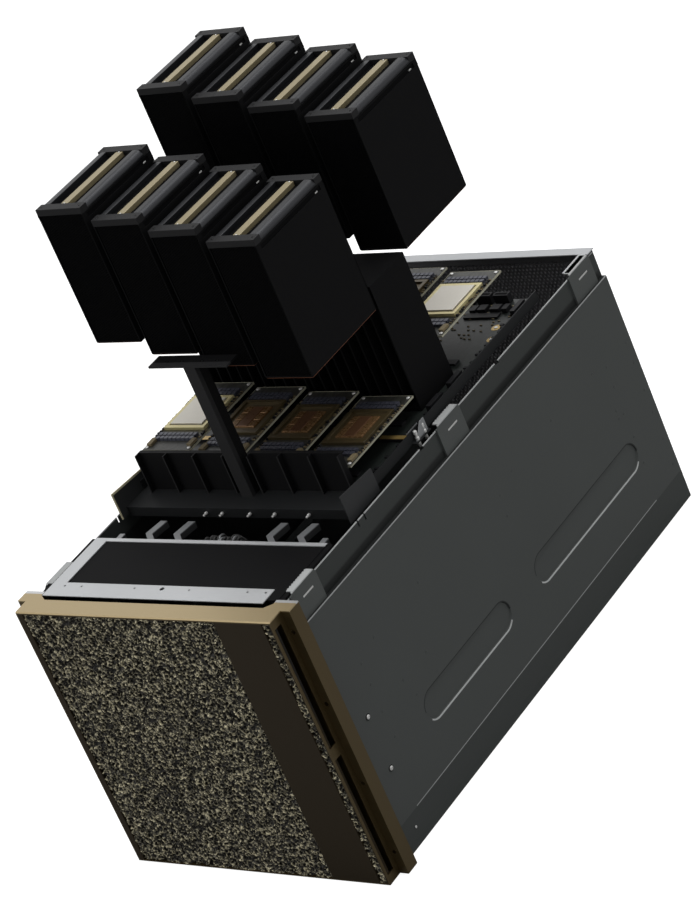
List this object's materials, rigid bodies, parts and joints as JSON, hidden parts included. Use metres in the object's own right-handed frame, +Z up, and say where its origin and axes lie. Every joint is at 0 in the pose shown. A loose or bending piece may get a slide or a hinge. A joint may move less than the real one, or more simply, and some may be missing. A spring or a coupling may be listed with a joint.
{
  "type": "gpu server",
  "caption": "Rack server opened up: steel chassis with a metal-foam bezel, fan cage and lifted tray of accelerator modules, each under a tall finned heatsink, shown exploded upwards.",
  "frame": {"origin": "on the floor plane, under the middle of the whole server between the bezel's face and the rear wall", "axes": "+Z up, +X to the right as the bezel is faced, +Y from the bezel to the rear"},
  "size_m": [0.4822, 0.897, 0.9239],
  "materials": {
    "chassis_paint": "fine satin",
    "bright_steel": "zinc plated",
    "black_panel": "matte",
    "gold_metal": "anodised, brushed",
    "metal_foam": "open cells, bright edges",
    "band_metal": "anodised, smooth",
    "dark_steel": "satin",
    "circuit_board": "solder mask",
    "cooler_aluminium": "bare fins",
    "black_aluminium": "black anodised",
    "fastener_steel": "machined",
    "connector_plastic": "moulded",
    "module_board": "populated board",
    "fan_plastic": "moulded",
    "supply_steel": "zinc plated"
  },
  "bodies": {
    "chassis": {"chassis_floor": "chassis_paint", "side_skin_left": "chassis_paint", "side_skin_right": "chassis_paint", "inner_wall_left": "chassis_paint", "inner_wall_right": "chassis_paint", "cover_tabs": "bright_steel", "rear_wall": "chassis_paint", "front_top_frame": "bright_steel", "front_top_panel": "black_panel", "ear_frame": "gold_metal", "fan_cage": "dark_steel", "fan_handles": "dark_steel", "main_board": "circuit_board", "processor_coolers": "cooler_aluminium", "memory_modules": "circuit_board", "rear_grille": "black_panel", "cable_loom": "connector_plastic", "side_screws": "fastener_steel", "tray_rails": "chassis_paint"},
    "bezel": {"bezel_frame": "gold_metal", "bezel_foam_panel": "metal_foam", "bezel_band": "band_metal"},
    "gpu_tray": {"tray_pan": "dark_steel", "tray_side_plates": "dark_steel", "tray_screws": "fastener_steel", "air_baffle": "black_panel", "center_divider": "dark_steel", "carrier_board": "circuit_board", "module_sockets": "connector_plastic", "switch_heatsinks": "black_aluminium"},
    "front_module_1": {"front_module_1": "module_board"},
    "front_heatsink_1": {"front_heatsink_1": "black_aluminium"},
    "front_module_2": {"front_module_2": "module_board"},
    "front_heatsink_2": {"front_heatsink_2": "black_aluminium"},
    "front_module_3": {"front_module_3": "module_board"},
    "front_heatsink_3": {"front_heatsink_3": "black_aluminium"},
    "front_module_4": {"front_module_4": "module_board"},
    "front_heatsink_4": {"front_heatsink_4": "black_aluminium"},
    "rear_module_1": {"rear_module_1": "module_board"},
    "rear_heatsink_1": {"rear_heatsink_1": "black_aluminium"},
    "rear_module_2": {"rear_module_2": "module_board"},
    "rear_heatsink_2": {"rear_heatsink_2": "black_aluminium"},
    "rear_module_3": {"rear_module_3": "module_board"},
    "rear_heatsink_3": {"rear_heatsink_3": "black_aluminium"},
    "rear_module_4": {"rear_module_4": "module_board"},
    "rear_heatsink_4": {"rear_heatsink_4": "black_aluminium"},
    "fan_rotor_1": {"fan_rotor_1": "fan_plastic"},
    "fan_rotor_2": {"fan_rotor_2": "fan_plastic"},
    "fan_rotor_3": {"fan_rotor_3": "fan_plastic"},
    "fan_rotor_4": {"fan_rotor_4": "fan_plastic"},
    "fan_rotor_5": {"fan_rotor_5": "fan_plastic"},
    "fan_rotor_6": {"fan_rotor_6": "fan_plastic"},
    "power_supply_1": {"power_supply_1": "supply_steel"},
    "power_supply_2": {"power_supply_2": "supply_steel"},
    "power_supply_3": {"power_supply_3": "supply_steel"},
    "power_supply_4": {"power_supply_4": "supply_steel"}
  },
  "joints": [
    {"name": "bezel_pull", "type": "slide", "parent": "chassis", "child": "bezel", "axis": [0, -1, 0], "range_m": [0, 0.08]},
    {"name": "tray_lift", "type": "slide", "parent": "chassis", "child": "gpu_tray", "axis": [0, 0, 1], "range_m": [-0.25, 0]},
    {"name": "front_module_1_lift", "type": "slide", "parent": "gpu_tray", "child": "front_module_1", "axis": [0, 0, 1], "range_m": [-0.0455, 0]},
    {"name": "front_heatsink_1_lift", "type": "slide", "parent": "front_module_1", "child": "front_heatsink_1", "axis": [0, 0, 1], "range_m": [-0.168, 0]},
    {"name": "front_module_2_lift", "type": "slide", "parent": "gpu_tray", "child": "front_module_2", "axis": [0, 0, 1], "range_m": [-0.0368, 0]},
    {"name": "front_heatsink_2_lift", "type": "slide", "parent": "front_module_2", "child": "front_heatsink_2", "axis": [0, 0, 1], "range_m": [-0.1558, 0]},
    {"name": "front_module_3_lift", "type": "slide", "parent": "gpu_tray", "child": "front_module_3", "axis": [0, 0, 1], "range_m": [-0.0281, 0]},
    {"name": "front_heatsink_3_lift", "type": "slide", "parent": "front_module_3", "child": "front_heatsink_3", "axis": [0, 0, 1], "range_m": [-0.1436, 0]},
    {"name": "front_module_4_lift", "type": "slide", "parent": "gpu_tray", "child": "front_module_4", "axis": [0, 0, 1], "range_m": [-0.0194, 0]},
    {"name": "front_heatsink_4_lift", "type": "slide", "parent": "front_module_4", "child": "front_heatsink_4", "axis": [0, 0, 1], "range_m": [-0.1314, 0]},
    {"name": "rear_module_1_lift", "type": "slide", "parent": "gpu_tray", "child": "rear_module_1", "axis": [0, 0, 1], "range_m": [-0.0769, 0]},
    {"name": "rear_heatsink_1_lift", "type": "slide", "parent": "rear_module_1", "child": "rear_heatsink_1", "axis": [0, 0, 1], "range_m": [-0.1676, 0]},
    {"name": "rear_module_2_lift", "type": "slide", "parent": "gpu_tray", "child": "rear_module_2", "axis": [0, 0, 1], "range_m": [-0.0682, 0]},
    {"name": "rear_heatsink_2_lift", "type": "slide", "parent": "rear_module_2", "child": "rear_heatsink_2", "axis": [0, 0, 1], "range_m": [-0.1554, 0]},
    {"name": "rear_module_3_lift", "type": "slide", "parent": "gpu_tray", "child": "rear_module_3", "axis": [0, 0, 1], "range_m": [-0.0595, 0]},
    {"name": "rear_heatsink_3_lift", "type": "slide", "parent": "rear_module_3", "child": "rear_heatsink_3", "axis": [0, 0, 1], "range_m": [-0.1432, 0]},
    {"name": "rear_module_4_lift", "type": "slide", "parent": "gpu_tray", "child": "rear_module_4", "axis": [0, 0, 1], "range_m": [-0.0508, 0]},
    {"name": "rear_heatsink_4_lift", "type": "slide", "parent": "rear_module_4", "child": "rear_heatsink_4", "axis": [0, 0, 1], "range_m": [-0.131, 0]},
    {"name": "fan_1_spin", "type": "hinge", "parent": "chassis", "child": "fan_rotor_1", "pos_m": [-0.142, -0.34435, 0.216], "axis": [0, 1, 0], "continuous": true},
    {"name": "fan_2_spin", "type": "hinge", "parent": "chassis", "child": "fan_rotor_2", "pos_m": [0, -0.34435, 0.216], "axis": [0, 1, 0], "continuous": true},
    {"name": "fan_3_spin", "type": "hinge", "parent": "chassis", "child": "fan_rotor_3", "pos_m": [0.142, -0.34435, 0.216], "axis": [0, 1, 0], "continuous": true},
    {"name": "fan_4_spin", "type": "hinge", "parent": "chassis", "child": "fan_rotor_4", "pos_m": [-0.142, -0.34435, 0.358], "axis": [0, 1, 0], "continuous": true},
    {"name": "fan_5_spin", "type": "hinge", "parent": "chassis", "child": "fan_rotor_5", "pos_m": [0, -0.34435, 0.358], "axis": [0, 1, 0], "continuous": true},
    {"name": "fan_6_spin", "type": "hinge", "parent": "chassis", "child": "fan_rotor_6", "pos_m": [0.142, -0.34435, 0.358], "axis": [0, 1, 0], "continuous": true},
    {"name": "supply_1_pull", "type": "slide", "parent": "chassis", "child": "power_supply_1", "axis": [0, 1, 0], "range_m": [0, 0.2]},
    {"name": "supply_2_pull", "type": "slide", "parent": "chassis", "child": "power_supply_2", "axis": [0, 1, 0], "range_m": [0, 0.2]},
    {"name": "supply_3_pull", "type": "slide", "parent": "chassis", "child": "power_supply_3", "axis": [0, 1, 0], "range_m": [0, 0.2]},
    {"name": "supply_4_pull", "type": "slide", "parent": "chassis", "child": "power_supply_4", "axis": [0, 1, 0], "range_m": [0, 0.2]}
  ]
}
